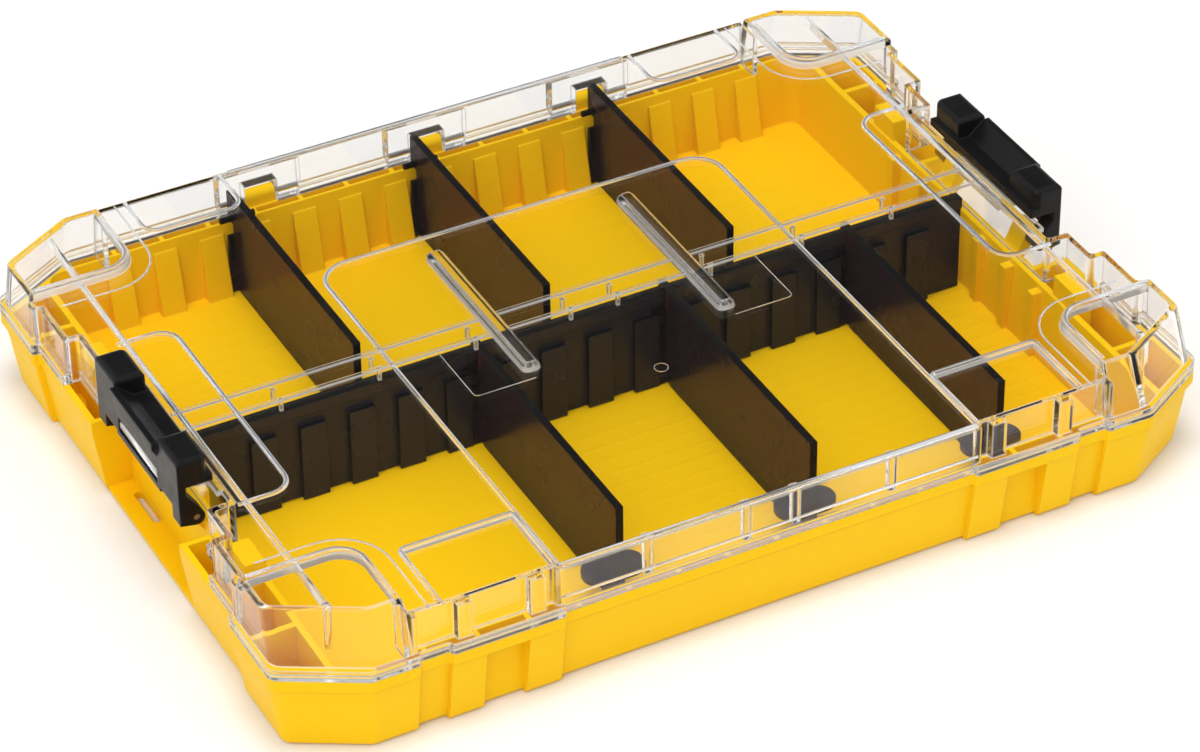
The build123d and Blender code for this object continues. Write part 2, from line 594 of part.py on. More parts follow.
def build_lid():
    with BuildPart() as lid:
        foot = RIM_Z
        for setback, height in RIM_LAYERS:
            with BuildSketch(level(foot)):
                add(rim_outline(setback))
            extrude(amount=height)
            foot += height
        add(lid_block())
        add(four_pads(0))
        add(grip_bars())
        for side in SIDES:
            add(latch_catch(side))
        with BuildSketch(level(RIM_Z)):
            add(without_pads(lid_outline(LID_WALL), LID_WALL, EMBED))
        extrude(amount=LID_TOP - LID_WALL - RIM_Z, mode=Mode.SUBTRACT)
        reach = LID_BODY_Y - PAD_FRONT_SLOPE - 2 * LID_WALL
        for side in SIDES:  # way through from the middle of the lid into its corner pads
            box_between(span(side, PAD_X - EMBED, PAD_X + LID_WALL), (-reach, reach),
                        (RIM_Z, LID_TOP - LID_WALL), Mode.SUBTRACT)
            for end in SIDES:
                box_between(span(side, PAD_X, PAD_X + PAD_CORNER_ROUND),
                            span(end, PAD_Y, PAD_Y + PAD_CORNER_ROUND),
                            (RIM_Z, LID_TOP - LID_WALL), Mode.SUBTRACT)
        add(four_pads(LID_WALL), mode=Mode.SUBTRACT)
        for side in SIDES:  # shallow sunk panels behind the set-back front walls
            box_between(span(side, *POCKET_X), (-HALF_Y, -HALF_Y + POCKET_REACH),
                        (LID_TOP - POCKET_DEPTH, PAD_TOP), Mode.SUBTRACT)
        add(divider_clips())
        add(front_fins())
        with Locations([(place * HINGE_PITCH, 0, 0) for place in (-1, 0, 1)]):
            add(knuckles())
        gap = LUG_WIDTH / 2 + SIDE_PLAY
        for place in (-1, 0, 1):
            x = place * HINGE_PITCH
            box_between((x - gap, x + gap), (LID_BODY_Y - LID_WALL - EMBED, HALF_Y + 2 * HINGE_STANDOFF),
                        (0, HINGE_Z + 2 * KNUCKLE_RADIUS), Mode.SUBTRACT)
        with BuildSketch(across(0)):
            with Locations((HINGE_Y, HINGE_Z)):
                Circle(HINGE_PIN_RADIUS + FIT)
        extrude(amount=HALF_X, both=True, mode=Mode.SUBTRACT)
    return lid


# ---------------------------------------------------------------- latches
def latch_body(side):
    """Latch plate with its hook over the lid, the outward lip in its middle and a grip block at each end."""
    outer = LATCH_OUTER_X
    inner = outer - LATCH_PLATE
    hook_top = HOOK_Z + HOOK_THICKNESS
    lip = outer + LATCH_LIP
    lip_top = LATCH_TOP - LIP_DROP
    slope_x = HOOK_X + HOOK_FLAT
    with BuildPart() as latch:
        with BuildSketch(facing_rear(0)):
            Polygon((side * inner, PLATE_FOOT_Z), (side * outer, PLATE_FOOT_Z), (side * outer, hook_top),
                    (side * HOOK_X, hook_top), (side * HOOK_X, HOOK_Z), (side * inner, HOOK_Z), align=None)
        extrude(amount=LATCH_HALF, both=True)
        with BuildSketch(facing_rear(0)):
            Polygon((side * slope_x, HOOK_Z), (side * outer, HOOK_Z),
                    (side * outer, lip_top - 2 * LATCH_PLATE),
                    (side * lip, lip_top - LATCH_PLATE), (side * lip, lip_top),
                    (side * (outer - EMBED), lip_top), (side * slope_x, hook_top), align=None)
        extrude(amount=WINDOW_HALF + LATCH_PLATE / 2, both=True)
        for end in SIDES:
            box_between(span(side, BAY_WALL_X, outer), span(end, WINDOW_HALF + LATCH_PLATE / 2, LATCH_HALF),
                        (HOOK_Z, LATCH_TOP))
        tall = latch.edges().filter_by(Axis.Z).filter_by(lambda edge: edge.center().Z > hook_top)
        fillet(tall.filter_by(lambda edge: abs(edge.center().Y - MID_Y) > WINDOW_HALF + LATCH_PLATE),
               radius=LATCH_ROUND)
        tops = latch.faces().filter_by(Axis.Z).filter_by(lambda face: face.center().Z > LATCH_TOP - SEAT)
        fillet(tops.filter_by(lambda face: abs(face.center().Y - MID_Y) > WINDOW_HALF).edges(),
               radius=LATCH_TOP_ROUND)
    return latch.part


def latch_ears(side):
    """Ears at both ends of the latch that the pin passes through."""
    foot = PIVOT_Z - EAR_DROP
    with BuildPart() as ears:
        with BuildSketch(facing_rear(0)):
            with Locations((side * PIVOT_X, PIVOT_Z)):
                Circle(EAR_RADIUS)
            with Locations((side * (LATCH_OUTER_X - LATCH_PLATE / 2), (foot + WINDOW_Z[1]) / 2)):
                Rectangle(LATCH_PLATE, WINDOW_Z[1] - foot)
            make_hull()
        extrude(amount=LATCH_HALF, both=True)
        box_between(span(side, 0, HALF_X), (-LATCH_HALF + EAR_WIDTH, LATCH_HALF - EAR_WIDTH), (0, LATCH_TOP),
                    Mode.SUBTRACT)
    return ears.part


def build_latch(side):
    plate_x = span(side, LATCH_OUTER_X - LATCH_PLATE - EMBED, LATCH_OUTER_X + EMBED)
    with BuildPart() as latch:
        add(latch_body(side))
        add(latch_ears(side))
        box_between(plate_x, (-WINDOW_HALF, WINDOW_HALF), WINDOW_Z, Mode.SUBTRACT)
        for end in SIDES:  # the plate's foot clears the tray's lugs
            box_between(plate_x, span(end, LUG_BAR_HALF - LUG_BAR_WIDTH - SEAT, LATCH_HALF - EAR_WIDTH),
                        (0, PLATE_FOOT_Z + LUG_NOTCH), Mode.SUBTRACT)
        with BuildSketch(facing_rear(0)):
            with Locations((side * PIVOT_X, PIVOT_Z)):
                Circle(LATCH_PIN_RADIUS + FIT)
        extrude(amount=HALF_Y, both=True, mode=Mode.SUBTRACT)
    return latch


# ---------------------------------------------------------------- pins and dividers
def build_hinge_pin(place):
    """Hinge pin of one knuckle; place is -1, 0 or 1."""
    with BuildPart() as pin:
        with BuildSketch(across(place * HINGE_PITCH)):
            with Locations((HINGE_Y, HINGE_Z)):
                Circle(HINGE_PIN_RADIUS)
        extrude(amount=KNUCKLE_WIDTH / 2 - SIDE_PLAY, both=True)
    return pin


def build_latch_pin(side):
    with BuildPart() as pin:
        with BuildSketch(facing_rear(0)):
            with Locations((side * PIVOT_X, PIVOT_Z)):
                Circle(LATCH_PIN_RADIUS)
        extrude(amount=LATCH_HALF - SIDE_PLAY, both=True)
    return pin


def build_long_divider():
    """Divider along the middle of the tray, with pads that make the slots for the front dividers."""
    half = CAVITY_X - SIDE_RIB - SEAT
    foot = FLOOR + SEAT
    with BuildPart() as divider:
        box_between((-half, half), (-LONG_CORE, LONG_CORE), (foot, LONG_TOP))
        box_between((-half, half), (-LONG_EDGE, LONG_EDGE), (LONG_TOP - 2 * LONG_EDGE, LONG_TOP))
        with BuildSketch(level(foot)):
            with Locations([(x, 0) for x in PILASTER_XS]):
                Rectangle(LONG_PAD_WIDTH, 2 * LONG_PAD)
        extrude(amount=LONG_PAD_TOP - foot)
        for k in FRONT_SLOTS:
            x = SLOT_OFFSET + SLOT_PITCH * k
            gap = DIVIDER_THICK / 2 + SEAT
            box_between((x - gap, x + gap), (-LONG_PAD, LONG_PAD), (TRAY_HEIGHT, LONG_TOP + EMBED),
                        Mode.SUBTRACT)
    return divider


def short_divider():
    """Short divider in the plane x = 0: its flanged end outwards, at y = 0, and its plain end towards -Y."""
    foot = FLOOR + SEAT
    nose_z = TRAY_HEIGHT + SEAT
    flange_half, flange_thick, flange_top = DIVIDER_FLANGE
    tab_half, tab_height = DIVIDER_TAB
    plate_x, plate_y, plate_low, plate_high = FOOT_PLATE
    with BuildPart() as divider:
        with BuildSketch(Plane.YZ) as side_view:
            Polygon((-DIVIDER_BODY, foot), (0, foot), (0, nose_z), (DIVIDER_NOSE, nose_z),
                    (DIVIDER_NOSE, DIVIDER_TOP),
                    (-DIVIDER_BODY, DIVIDER_TOP), align=None)
            corners = side_view.vertices().group_by(Axis.Y)[0]
            fillet(corners.sort_by(Axis.Z)[-1], radius=DIVIDER_ROUND)
        extrude(amount=DIVIDER_THICK / 2, both=True)
        with Locations((0, -flange_thick / 2, (foot + flange_top) / 2)):
            Box(2 * flange_half, flange_thick, flange_top - foot)
        with Locations((0, -flange_thick / 2, TAB_Z + tab_height / 2)):
            Box(2 * tab_half, flange_thick, tab_height)
        with BuildSketch(Plane((0, 0, plate_low))):
            with Locations((0, -DIVIDER_BODY + plate_y / 2)):
                RectangleRounded(plate_x, plate_y, plate_y / 2 - SEAT)
        extrude(amount=plate_high - plate_low)
    return divider.part


def build_divider(slot, rear):
    """Short divider in a numbered slot, against the rear wall or against the long divider."""
    x = SLOT_OFFSET + SLOT_PITCH * slot
    y = CAVITY_Y if rear else -LONG_CORE
    with BuildPart() as divider:
        with Locations((x, MID_Y + y - SEAT, 0)):
            add(short_divider())
    return divider


def save(piece, name):
    """Label a piece and write it to its own file."""
    piece.part.label = name
    export_step(piece.part, "parts/" + name + ".step")


os.makedirs("parts", exist_ok=True)
save(build_tray(), "base_tray")
save(build_lid(), "lid")
for name, side in (("left", -1), ("right", 1)):
    save(build_latch(side), "latch_" + name)
    save(build_latch_pin(side), "latch_pin_" + name)
for name, place in (("left", -1), ("centre", 0), ("right", 1)):
    save(build_hinge_pin(place), "hinge_pin_" + name)
save(build_long_divider(), "long_divider")
for number, slot in enumerate(REAR_SLOTS, start=1):
    save(build_divider(slot, rear=True), "rear_divider_" + str(number))
for number, slot in enumerate(FRONT_SLOTS, start=1):
    save(build_divider(slot, rear=False), "front_divider_" + str(number))
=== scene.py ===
import json
import logging
import math
from dataclasses import dataclass
from enum import Enum
from typing import Sequence

import bpy
import numpy as np
from mathutils import Matrix, Vector


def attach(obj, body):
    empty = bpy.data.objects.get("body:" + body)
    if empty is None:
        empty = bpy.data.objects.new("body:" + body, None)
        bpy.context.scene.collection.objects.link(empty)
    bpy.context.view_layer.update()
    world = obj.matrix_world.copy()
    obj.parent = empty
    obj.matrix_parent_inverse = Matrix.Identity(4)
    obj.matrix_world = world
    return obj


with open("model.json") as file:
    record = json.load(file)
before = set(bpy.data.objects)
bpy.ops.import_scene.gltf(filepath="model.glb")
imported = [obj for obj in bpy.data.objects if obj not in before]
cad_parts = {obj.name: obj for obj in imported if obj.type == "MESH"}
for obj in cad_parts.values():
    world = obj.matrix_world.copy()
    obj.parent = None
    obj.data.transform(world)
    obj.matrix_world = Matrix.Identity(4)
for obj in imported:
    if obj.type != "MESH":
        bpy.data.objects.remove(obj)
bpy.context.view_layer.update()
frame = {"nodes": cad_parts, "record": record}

log = logging.getLogger("blade_case")

Array = np.ndarray
Material = bpy.types.Material
Socket = bpy.types.NodeSocket
Colour = tuple[float, float, float]
Point = tuple[float, float, float]
Pair = tuple[float, float]

MIDDLE_Y = -0.002  # middle of the rim, ahead of the origin because the hinges stand out behind
MASK_RAMP = 0.0002  # depth over which a shading mask goes from 0 to 1
ARC_SHARE = 0.49  # most of a run that the arc at either end of it takes up
LEAST_COSINE = 0.5  # of half a bend, below which its mitre gets no longer


class Side(Enum):
    """The two short sides of the case, by the sign of their X."""

    LEFT = -1
    RIGHT = 1


# ------------------------------------------------------------------ mesh tools
def rounded_path(corners: Array, radius: float, steps: int = 6) -> Array:
    """Carries an open line through its corners and turns each inner one on an arc.

    Each inner corner is replaced by a circular arc tangent to both of its runs:
    the arc starts radius / tan(half angle) before the corner and ends as far after it.

    Args:
        corners: (n, 3) corner points in order.
        radius: arc radius at every inner corner.
        steps: segments in each arc.

    Returns:
        (m, 3) points along the rounded line.
    """
    points = np.asarray(corners, float)
    pieces = [points[:1]]
    for before, here, after in zip(points[:-2], points[1:-1], points[2:]):
        back = before - here
        ahead = after - here
        back_length, ahead_length = np.linalg.norm(back), np.linalg.norm(ahead)
        back, ahead = back / back_length, ahead / ahead_length
        half = math.acos(float(np.clip(back @ ahead, -1, 1))) / 2
        reach = min(radius / math.tan(half), ARC_SHARE * back_length, ARC_SHARE * ahead_length)
        bisector = back + ahead
        bisector /= np.linalg.norm(bisector)
        centre = here + bisector * reach / math.cos(half)
        start, end = here + back * reach - centre, here + ahead * reach - centre
        sweep = math.pi - 2 * half
        share = np.linspace(0, 1, steps + 1)[:, None]
        arc = (np.sin((1 - share) * sweep) * start + np.sin(share * sweep) * end) / math.sin(sweep)
        pieces.append(centre + arc)
    return np.concatenate(pieces + [points[-1:]])


def sweep_profile(path: Array, profile: Array, closed: bool) -> tuple[Array, Array]:
    """Carries a closed profile along a level path.

    A vertex is path point + across * (offset, mitred at the bends) + up * height, where across is
    the path's direction turned a quarter turn in the horizontal plane.

    Args:
        path: (n, 3) points of the path.
        profile: (k, 2) closed outline as (offset across, height), anticlockwise looking along the path.
        closed: whether the path is a loop.

    Returns:
        Vertices (n * k, 3) and faces (m, 4).
    """
    ahead = np.roll(path, -1, axis=0) - path
    behind = path - np.roll(path, 1, axis=0)
    if not closed:
        ahead[-1], behind[0] = behind[-1], ahead[0]
    ahead /= np.linalg.norm(ahead, axis=1, keepdims=True)
    behind /= np.linalg.norm(behind, axis=1, keepdims=True)
    tangent = ahead + behind
    tangent /= np.linalg.norm(tangent, axis=1, keepdims=True)
    across = np.stack([-tangent[:, 1], tangent[:, 0], np.zeros(len(path))], axis=1)
    mitre = 1 / np.clip((tangent * ahead).sum(axis=1), LEAST_COSINE, 1)
    grid = path[:, None] + across[:, None] * (profile[None, :, 0] * mitre[:, None])[..., None]
    grid[..., 2] += profile[None, :, 1]
    rows, columns = grid.shape[:2]
    index = np.arange(rows * columns).reshape(rows, columns)
    low = index if closed else index[:-1]
    high = np.roll(index, -1, axis=0) if closed else index[1:]
    quads = np.stack([low, high, np.roll(high, -1, axis=1), np.roll(low, -1, axis=1)], axis=-1)
    return grid.reshape(-1, 3), quads.reshape(-1, 4)


def make_piece(name: str, verts: Array, faces: Sequence[Sequence[int]],
               smooth: bool = True) -> bpy.types.Object:
    """Makes a mesh object at the origin and links it to the scene.

    Args:
        name: object name.
        verts: (n, 3) places in metres.
        faces: vertex indices of each face.
        smooth: whether its faces are shaded smooth.

    Returns:
        The new object.
    """
    mesh = bpy.data.meshes.new(name)
    mesh.from_pydata(verts.tolist(), [], faces)
    mesh.update()
    mesh.polygons.foreach_set("use_smooth", np.full(len(mesh.polygons), smooth))
    piece = bpy.data.objects.new(name, mesh)
    bpy.context.scene.collection.objects.link(piece)
    log.info("made %s", name)
    return piece


def half_round(width: float, rise: float, sink: float, steps: int = 8) -> Array:
    """Outline of a bead: half an ellipse, closed below its foot.

    A point is (width / 2 * cos t, rise * sin t) for t from 0 to a half turn.

    Args:
        width: width of the bead.
        rise: height of its crown above its foot.
        sink: depth that it is let into the face below it.
        steps: segments in the crown.

    Returns:
        (steps + 3, 2) anticlockwise points.
    """
    angle = np.linspace(0, math.pi, steps + 1)
    crown = np.stack([width / 2 * np.cos(angle), rise * np.sin(angle)], axis=1)
    foot = np.array([[-width / 2, -sink], [width / 2, -sink]])
    return np.concatenate([crown, foot])


def full_round(radius: float, steps: int = 10) -> Array:
    """Outline of a round line: a circle.

    Args:
        radius: its radius.
        steps: its corners.

    Returns:
        (steps, 2) anticlockwise points.
    """
    angle = np.linspace(0, 2 * math.pi, steps, endpoint=False)
    return radius * np.stack([np.cos(angle), np.sin(angle)], axis=1)


def soft_box(width: float, height: float, power: float = 8.0, steps: int = 40) -> Array:
    """Outline of a box with soft corners: a superellipse.

    A point is (width / 2 * f(cos t), height / 2 * f(sin t)), where f(c) = sign(c) |c| ** (2 / power).

    Args:
        width: full width.
        height: full height.
        power: 2 gives an ellipse, more gives squarer corners.
        steps: its corners.

    Returns:
        (steps, 2) anticlockwise points.
    """
    angle = np.linspace(0, 2 * math.pi, steps, endpoint=False)
    unit = np.stack([np.cos(angle), np.sin(angle)], axis=1)
    return np.array([width / 2, height / 2]) * np.sign(unit) * np.abs(unit) ** (2 / power)


# ------------------------------------------------------------------ finishes
class NodeSheet:
    """Short way to lay down and join shader nodes in one material."""

    def __init__(self, name: str) -> None:
        """Makes an empty material.

        Args:
            name: its name.
        """
        self.material = bpy.data.materials.new(name)
        self.material.use_nodes = True
        self.nodes = self.material.node_tree.nodes
        self.nodes.clear()
        self.output = self.nodes.new("ShaderNodeOutputMaterial")
        self.place = self.nodes.new("ShaderNodeTexCoord").outputs["Object"]

    def add(self, kind: str, inputs: dict | None = None, **settings: object) -> bpy.types.Node:
        """Adds a node, sets its properties and fills its inputs with values or links.

        Args:
            kind: node type name after ShaderNode.
            inputs: input name or index to value or socket.
            settings: node properties.

        Returns:
            The node.
        """
        node = self.nodes.new("ShaderNode" + kind)
        for key, value in settings.items():
            setattr(node, key, value)
        for key, value in (inputs or {}).items():
            socket = node.inputs[key]
            if isinstance(value, Socket):
                self.material.node_tree.links.new(value, socket)
            else:
                socket.default_value = value
        return node

    def noise(self, scale: float, detail: float) -> Socket:
        """Noise over the object's own coordinates."""
        return self.add("TexNoise", {"Vector": self.place, "Scale": scale, "Detail": detail}).outputs["Fac"]

    def mottle(self, scale: float, detail: float = 3) -> Socket:
        """Soft patches, from 0 to 1."""
        return self.stretch(self.noise(scale, detail), (0.3, 0.7))

    def stretch(self, value: Socket, span: Pair, onto: Pair = (0, 1)) -> Socket:
        """Maps a value along a straight line and clamps it at the ends.

        Args:
            value: the value.
            span: the two values that are mapped to the ends.
            onto: the ends.

        Returns:
            The mapped value.
        """
        return self.add("MapRange", {"Value": value, "From Min": span[0], "From Max": span[1],
                                     "To Min": onto[0], "To Max": onto[1]}, clamp=True).outputs["Result"]

    def under(self, value: Socket, limit: float) -> Socket:
        """Mask that is 1 where a value is under a limit and 0 over it."""
        return self.stretch(value, (limit, limit - MASK_RAMP))

    def over(self, value: Socket, limit: float) -> Socket:
        """Mask that is 1 where a value is over a limit and 0 under it."""
        return self.stretch(value, (limit, limit + MASK_RAMP))

    def math(self, operation: str, *values: Socket | float) -> Socket:
        """Result of a Math node."""
        return self.add("Math", dict(enumerate(values)), operation=operation).outputs[0]

    def parts(self, vector: Socket) -> Sequence[Socket]:
        """X, Y and Z of a vector."""
        return self.add("SeparateXYZ", {0: vector}).outputs

    def facing(self) -> Sequence[Socket]:
        """X, Y and Z of the object's own normal."""
        return self.parts(self.add("TexCoord").outputs["Normal"])

    def soft(self, edge: float) -> Socket:
        """Shading normal with the edges rounded by edge."""
        return self.add("Bevel", {"Radius": edge}, samples=4).outputs[0]

    def flatness(self, soft: Socket) -> Socket:
        """1 where a soft normal agrees with the plain one, and less on the rounded edges."""
        plain = self.add("NewGeometry").outputs["Normal"]
        return self.add("VectorMath", {0: soft, 1: plain}, operation="DOT_PRODUCT").outputs["Value"]

    def bump(self, height: Socket, strength: float, distance: float, normal: Socket | None = None) -> Socket:
        """Bends a normal by a height map.

        Args:
            height: the map, from 0 to 1.
            strength: share of the bend that is kept.
            distance: height of the map's ones in metres.
            normal: the normal that is bent, the plain one if not given.

        Returns:
            The bent normal.
        """
        inputs = {"Height": height, "Strength": strength, "Distance": distance}
        if normal is not None:
            inputs["Normal"] = normal
        return self.add("Bump", inputs).outputs[0]

    def blend(self, share: Socket, first: Socket | Colour, second: Socket | Colour,
              kind: str = "MIX") -> Socket:
        """Mixes two colours.

        Args:
            share: share of the second colour.
            first: the first colour.
            second: the second colour.
            kind: MIX to go over to the second colour, MULTIPLY to go over to the product of both.

        Returns:
            The mixed colour.
        """
        first, second = ((*end, 1) if isinstance(end, tuple) else end for end in (first, second))
        node = self.add("Mix", {0: share, 6: first, 7: second}, data_type="RGBA", blend_type=kind)
        return node.outputs[2]

    def principled(self, **inputs: object) -> Socket:
        """Principled surface; an underscore stands for a space in the name of an input."""
        named = {key.replace("_", " "): value for key, value in inputs.items()}
        return self.add("BsdfPrincipled", named).outputs[0]

    def see_through(self, colour: Colour) -> Socket:
        """Surface that lets light straight through, tinted by a colour."""
        return self.add("BsdfTransparent", {"Color": (*colour, 1)}).outputs[0]

    def mix(self, share: Socket, first: Socket, second: Socket) -> Socket:
        """Surface between first and second."""
        return self.add("MixShader", {0: share, 1: first, 2: second}).outputs[0]

    def finish(self, surface: Socket) -> Material:
        """Joins the surface to the output and returns the material."""
        self.material.node_tree.links.new(surface, self.output.inputs["Surface"])
        return self.material


@dataclass(frozen=True)
class MouldedPlastic:
    """Opaque moulded plastic: fine spark-eroded grain, faint flow mottling and slightly rubbed edges.

    With rib_pitch set, the floor of the bins has faint flow ribs and painted light: its colour is made
    lighter by a set factor.
    """

    name: str
    colour: Colour
    shade: Colour
    rubbed: Colour
    roughness: float
    shine: float
    rib_pitch: float = 0.0
    index: float = 1.48
    mottle_scale: float = 18
    edge: float = 0.0007
    edge_turn: Pair = (0.97, 0.8)
    wear: float = 0.35
    grain: float = 0.00002
    grain_scale: float = 2600
    grain_strength: float = 0.6
    scuff_scale: float = 140
    scuff_span: Pair = (0.35, 0.75)
    scuff_change: Pair = (-0.05, 0.08)
    floor_top: float = 0.0034
    # painted light: how much lighter in colour the floor of the bins is made
    painted_floor_light: float = 1.07
    level_span: Pair = (0.8, 0.95)
    rib_crest: Pair = (0.55, 0.95)
    rib_depth: float = 0.00025
    rib_strength: float = 0.4
    patch_scale: float = 9
    patch_span: Pair = (0.50, 0.66)

    def build(self) -> Material:
        """Lays down the shader nodes, with edges that only the shading rounds.

        Returns:
            The material.
        """
        sheet = NodeSheet(self.name)
        soft = sheet.soft(self.edge)
        body = sheet.blend(sheet.mottle(self.mottle_scale), self.shade, self.colour)
        wear = sheet.stretch(sheet.flatness(soft), self.edge_turn, (0, self.wear))
        colour = sheet.blend(wear, body, self.rubbed)
        less, more = self.scuff_change
        scuff = sheet.stretch(sheet.noise(self.scuff_scale, detail=4), self.scuff_span,
                              (self.roughness + less, self.roughness + more))
        normal = sheet.bump(sheet.noise(self.grain_scale, detail=2), self.grain_strength, self.grain, soft)
        if self.rib_pitch:
            # painted light: the floor of the bins is made lighter in colour, to look as brightly lit as the
            # rest of the tray
            colour = sheet.blend(self.on_floor(sheet), colour, (self.painted_floor_light,) * 3, "MULTIPLY")
            normal = sheet.bump(self.ribs(sheet), self.rib_strength, self.rib_depth, normal)
        return sheet.finish(sheet.principled(Base_Color=colour, Roughness=scuff, IOR=self.index,
                                             Specular_IOR_Level=self.shine, Normal=normal))

    def on_floor(self, sheet: NodeSheet) -> Socket:
        """Mask that is 1 on the floor of the bins and 0 elsewhere."""
        low = sheet.under(sheet.parts(sheet.place)[2], self.floor_top)
        return sheet.math("MULTIPLY", low, sheet.stretch(sheet.facing()[2], self.level_span))

    def ribs(self, sheet: NodeSheet) -> Socket:
        """Height of faint flow ribs along X on the floor of the bins, in patches.

        The ribs are the crests of sin(2 pi y / rib_pitch).

        Args:
            sheet: the material under way.

        Returns:
            The height, from 0 to 1.
        """
        turn = sheet.math("MULTIPLY", sheet.parts(sheet.place)[1], 2 * math.pi / self.rib_pitch)
        crest = sheet.stretch(sheet.math("SINE", turn), self.rib_crest)
        patch = sheet.stretch(sheet.noise(self.patch_scale, detail=1), self.patch_span)
        return sheet.math("MULTIPLY", sheet.math("MULTIPLY", crest, patch), self.on_floor(sheet))


@dataclass(frozen=True)
class ClearPlastic:
    """Clear moulded plastic: polished, slightly wavy, with a painted highlight on rounded edges and upright
    steps.

    inboard holds the farthest X and Y of the steps, and the slope and reach of the lid's cut corners.
    """

    name: str
    tint: Colour
    roughness: float = 0.02
    haze_scale: float = 220
    haze_span: Pair = (0.45, 0.8)
    haze: float = 0.03
    index: float = 1.42
    wave: float = 0.00003
    wave_scale: float = 55
    wave_strength: float = 0.5
    edge: float = 0.0010
    edge_turn: Pair = (0.99, 0.90)
    shadow: Colour = (0.985, 0.985, 0.985)
    clarity: float = 1.0
    # share of painted highlight on the rounded edges: pale diffuse plastic mixed into the clear
    pale: float = 0.5
    # colour and roughness of that painted highlight
    highlight_colour: Colour = (0.90, 0.90, 0.895)
    highlight_roughness: float = 0.25
    # share of painted highlight on the upright steps of the lid's top
    step_highlight: float = 0.45
    step_base: float = 0.0518
    step_span: Pair = (0.6, 0.3)
    inboard: tuple[float, float, float, float] = (0.1832, 0.1290, 0.576, 0.2160)

    def build(self) -> Material:
        """Lays down the shader nodes; light that only shades passes through almost unchanged.

        Returns:
            The material.
        """
        sheet = NodeSheet(self.name)
        soft = sheet.soft(self.edge)
        normal = sheet.bump(sheet.noise(self.wave_scale, detail=2), self.wave_strength, self.wave, soft)
        haze = sheet.stretch(sheet.noise(self.haze_scale, detail=3), self.haze_span,
                             (self.roughness, self.roughness + self.haze))
        glass = sheet.principled(Base_Color=(*self.tint, 1), Roughness=haze, IOR=self.index,
                                 Transmission_Weight=self.clarity, Normal=normal)
        # painted highlight: pale diffuse plastic, mixed in on the rounded edges and upright steps, stands in
        # for the light that clear plastic bends and mirrors there
        rim = sheet.principled(Base_Color=(*self.highlight_colour, 1), Roughness=self.highlight_roughness,
                               Normal=normal)
        along = sheet.stretch(sheet.flatness(soft), self.edge_turn, (0, self.pale))
        with_painted_highlight = sheet.mix(sheet.math("MAXIMUM", along, self.steps(sheet)), glass, rim)
        path = sheet.add("LightPath").outputs
        lighting = sheet.math("MAXIMUM", path["Is Shadow Ray"], path["Is Diffuse Ray"])
        return sheet.finish(sheet.mix(lighting, with_painted_highlight, sheet.see_through(self.shadow)))

    def steps(self, sheet: NodeSheet) -> Socket:
        """Share of painted highlight on upright faces of the lid's top, but not on its outer walls.

        A place is inboard of the outer walls where |x| is under side_reach, |y| under front_reach and
        |x| * slope + |y| under corner_reach, with y from the middle of the rim.

        Args:
            sheet: the material under way.

        Returns:
            The share, step_highlight on upright inboard faces above step_base and 0 elsewhere.
        """
        side_reach, front_reach, slope, corner_reach = self.inboard
        x, y, height = sheet.parts(sheet.place)
        across = sheet.math("ABSOLUTE", x)
        along = sheet.math("ABSOLUTE", sheet.math("ADD", y, -MIDDLE_Y))
        corner = sheet.math("MULTIPLY_ADD", across, slope, along)
        # painted highlight: pale plastic on upright step faces stands in for the light that the steps bend
        # and mirror inside the clear plastic
        upright = sheet.stretch(sheet.math("ABSOLUTE", sheet.facing()[2]), self.step_span,
                                (0, self.step_highlight))
        share = sheet.over(height, self.step_base)
        for value, limit in ((across, side_reach), (along, front_reach), (corner, corner_reach)):
            share = sheet.math("MULTIPLY", share, sheet.under(value, limit))
        return sheet.math("MULTIPLY", share, upright)


@dataclass(frozen=True)
class SmokePlastic:
    """Dark smoky plastic: warm light comes through its broad faces, and its edges look almost black.

    broad_axis is the axis that the broad faces are square to, and share is the share of light they pass.
    Below foot_top every face passes foot_share of that.
    """

    name: str
    colour: Colour
    edge_colour: Colour
    through: Colour
    broad_axis: int
    share: float
    broad_span: Pair = (0.6, 0.9)
    foot_top: float = 0.0180
    foot_ramp: float = 0.001
    foot_share: float = 0.8
    mottle_scale: float = 30
    mottle_light: float = 1.15
    roughness: float = 0.25
    scuff_scale: float = 60
    scuff_span: Pair = (0.3, 0.8)
    scuff_change: Pair = (-0.03, 0.05)
    shine: float = 0.25
    index: float = 1.5
    grain: float = 0.000004
    grain_scale: float = 900
    grain_strength: float = 0.3
    edge: float = 0.0006

    def build(self) -> Material:
        """Lays down the shader nodes.

        Returns:
            The material.
        """
        sheet = NodeSheet(self.name)
        square = sheet.stretch(sheet.math("ABSOLUTE", sheet.facing()[self.broad_axis]), self.broad_span)
        foot = sheet.stretch(sheet.parts(sheet.place)[2], (self.foot_top + self.foot_ramp, self.foot_top),
                             (0, self.foot_share))
        broad = sheet.math("MAXIMUM", square, foot)
        lighter = tuple(self.mottle_light * c for c in self.colour)
        face = sheet.blend(sheet.mottle(self.mottle_scale), self.colour, lighter)
        less, more = self.scuff_change
        scuff = sheet.stretch(sheet.noise(self.scuff_scale, detail=3), self.scuff_span,
                              (self.roughness + less, self.roughness + more))
        normal = sheet.bump(sheet.noise(self.grain_scale, detail=2), self.grain_strength, self.grain,
                            sheet.soft(self.edge))
        solid = sheet.principled(Base_Color=sheet.blend(broad, self.edge_colour, face), Roughness=scuff,
                                 IOR=self.index, Specular_IOR_Level=self.shine, Normal=normal)
        clear = sheet.math("MULTIPLY", broad, self.share)
        return sheet.finish(sheet.mix(clear, solid, sheet.see_through(self.through)))


